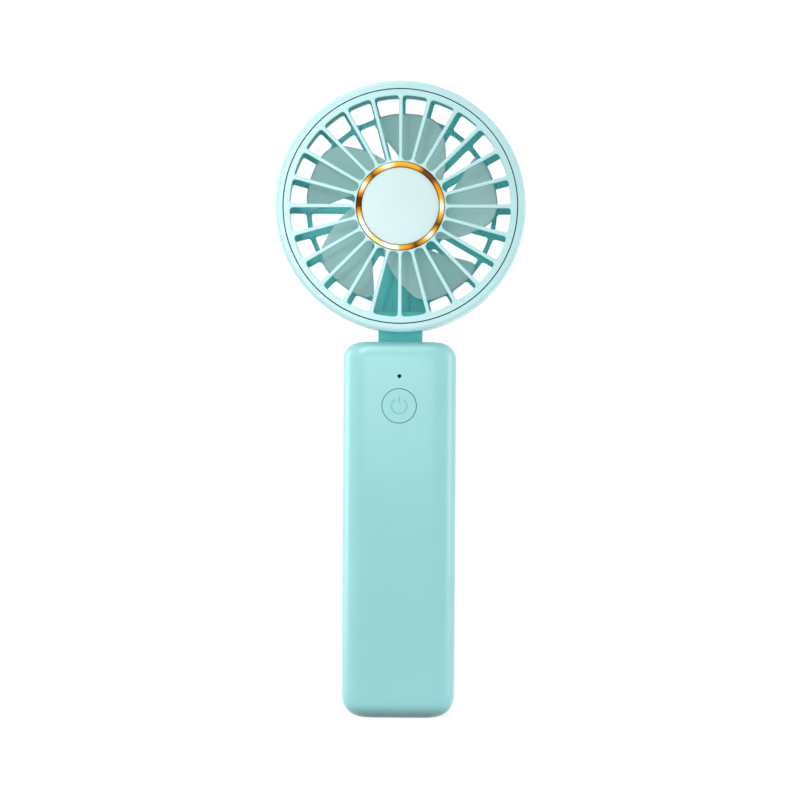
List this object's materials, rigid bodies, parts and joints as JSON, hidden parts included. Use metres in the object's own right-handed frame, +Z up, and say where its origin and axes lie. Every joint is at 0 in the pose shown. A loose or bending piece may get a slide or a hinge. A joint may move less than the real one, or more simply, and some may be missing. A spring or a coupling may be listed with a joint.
{
  "type": "handheld electric fan",
  "caption": "Handheld battery fan: round guarded head with radial spokes and a swept-blade impeller on a straight rounded grip with a round power button.",
  "frame": {"origin": "middle of the flat base that the fan stands on", "axes": "+Z up along the grip, air blows towards -Y (the front, with button and gold ring), +X to the right seen from the front"},
  "size_m": [0.085, 0.029, 0.2164],
  "materials": {
    "shell_pale": "satin pale aqua",
    "cap_pale": "fine satin pale aqua",
    "grip_aqua": "satin mid aqua",
    "housing_teal": "satin teal",
    "blade_teal": "satin grey-teal",
    "gold_trim": "spun and polished gold",
    "dark_window": "smoked",
    "steel": "bright",
    "motor_iron": "dark laminated",
    "coil_copper": "enamelled winding",
    "board_green": "solder mask",
    "black_plastic": "matte",
    "white_plastic": "matte",
    "cell_sleeve": "shrink sleeve over a steel cell",
    "foam": "open foam",
    "lead_red": "soft sleeve",
    "lead_black": "soft sleeve"
  },
  "bodies": {
    "housing": {"head_ring": "shell_pale", "front_grille": "shell_pale", "trim_ring": "gold_trim", "centre_cap": "cap_pale", "rear_grille": "housing_teal", "lead_cover": "housing_teal", "rear_hub_cap": "housing_teal", "neck": "housing_teal", "neck_screw_left": "steel", "neck_screw_right": "steel", "bearing_front": "steel", "bearing_rear": "steel", "stator_core": "motor_iron", "stator_coil_1": "coil_copper", "stator_coil_2": "coil_copper", "stator_coil_3": "coil_copper", "stator_coil_4": "coil_copper", "motor_board": "board_green", "motor_lead_red": "lead_red", "motor_lead_black": "lead_black", "handle_front_shell": "grip_aqua", "handle_rear_shell": "grip_aqua", "shell_screw_1": "steel", "shell_screw_2": "steel", "shell_screw_3": "steel", "shell_screw_4": "steel", "switch_body": "black_plastic", "light_pipe": "dark_window", "status_led": "white_plastic", "control_board": "board_green", "control_chip": "black_plastic", "power_inductor": "motor_iron", "motor_plug": "white_plastic", "battery_plug": "white_plastic", "battery_cell": "cell_sleeve", "battery_cradle": "black_plastic", "cell_foam": "foam", "battery_tab_top": "steel", "battery_tab_bottom": "steel", "battery_lead_red": "lead_red", "battery_lead_black": "lead_black", "charge_board": "board_green", "charge_socket": "steel", "charge_lead_red": "lead_red", "charge_lead_black": "lead_black"},
    "rotor": {"impeller": "blade_teal", "rotor_shaft": "steel", "shaft_clip": "steel", "rotor_magnet": "motor_iron", "rotor_yoke": "steel"},
    "button": {"button_cap": "grip_aqua"},
    "plunger": {"switch_plunger": "white_plastic"}
  },
  "joints": [
    {"name": "impeller_spin", "type": "hinge", "parent": "housing", "child": "rotor", "pos_m": [0, 0, 0.1739], "axis": [0, -1, 0], "continuous": true},
    {"name": "button_press", "type": "slide", "parent": "housing", "child": "button", "axis": [0, 1, 0], "range_m": [0, 0.0003], "stiffness_N_per_m": 3000},
    {"name": "switch_press", "type": "slide", "parent": "housing", "child": "plunger", "axis": [0, 1, 0], "range_m": [0, 0.0003]}
  ],
  "couplings": [
    {"joint": "switch_press", "follows": "button_press", "ratio": 1}
  ]
}
